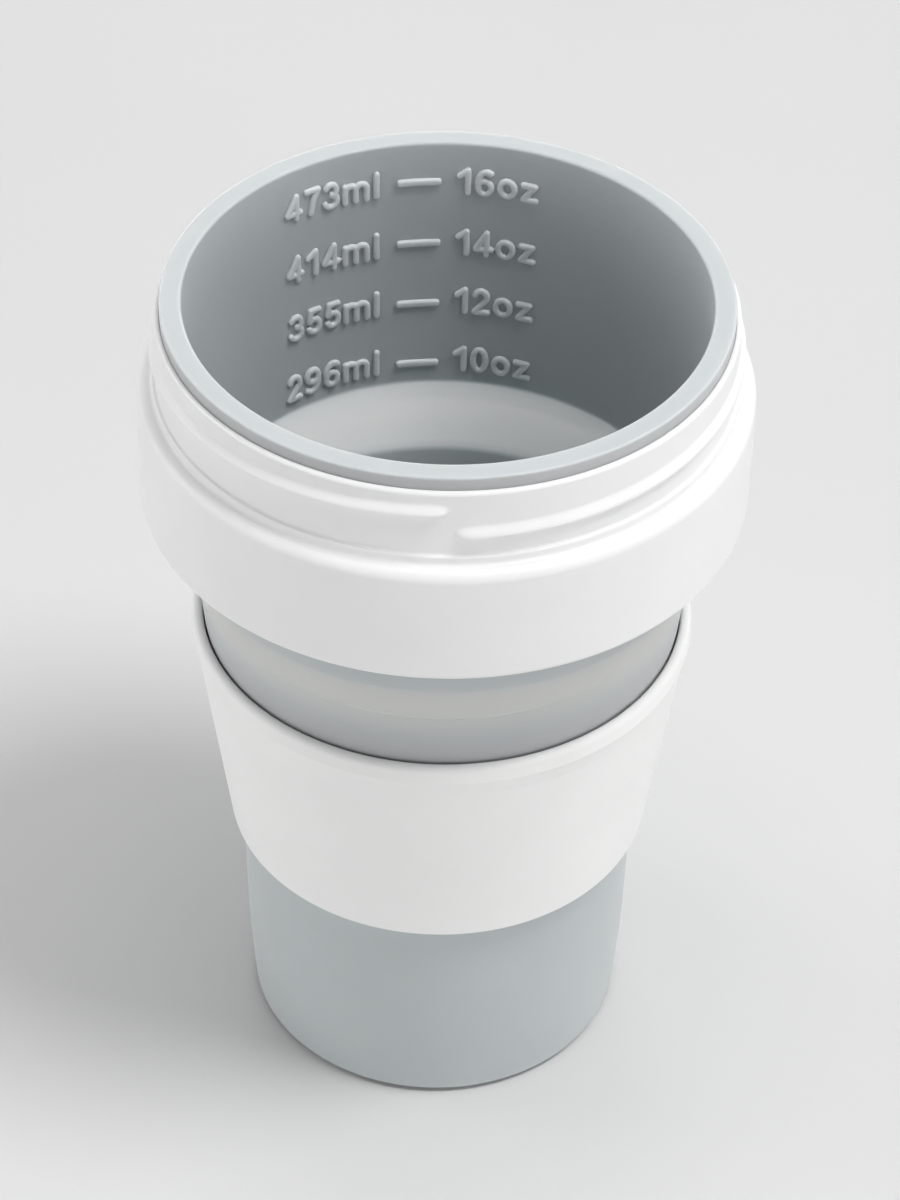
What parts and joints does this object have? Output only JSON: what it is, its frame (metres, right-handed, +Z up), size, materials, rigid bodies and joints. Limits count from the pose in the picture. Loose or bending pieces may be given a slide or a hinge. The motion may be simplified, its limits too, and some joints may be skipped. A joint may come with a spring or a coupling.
{
  "type": "collapsible travel cup",
  "caption": "Fold-flat silicone travel cup with a rigid threaded collar, a slip-on heat sleeve and a raised volume scale inside.",
  "frame": {"origin": "centre of the base's underside, on the surface that the cup stands on", "axes": "+Z up along the cup's axis, +Y towards the volume scale on the inner wall, +X to the right when the scale is read"},
  "size_m": [0.0952, 0.0952, 0.1445],
  "materials": {
    "silicone": "satin blue-grey silicone, slightly translucent where thin",
    "collar_plastic": "fine-textured white moulded plastic",
    "sleeve_plastic": "soft matte white"
  },
  "bodies": {
    "sleeve": {"heat_sleeve": "sleeve_plastic"},
    "collar": {"threaded_collar": "collar_plastic", "upper_tier": "silicone", "fold_wall": "silicone"},
    "base": {"base_tier": "silicone"}
  },
  "joints": [
    {"name": "sleeve_slide", "type": "slide", "parent": "sleeve", "child": "collar", "axis": [0, 0, 1], "range_m": [0, 0.088]},
    {"name": "base_fold", "type": "slide", "parent": "collar", "child": "base", "axis": [0, 0, 1], "range_m": [0, 0.0948], "deforming": ["fold_wall"]}
  ]
}
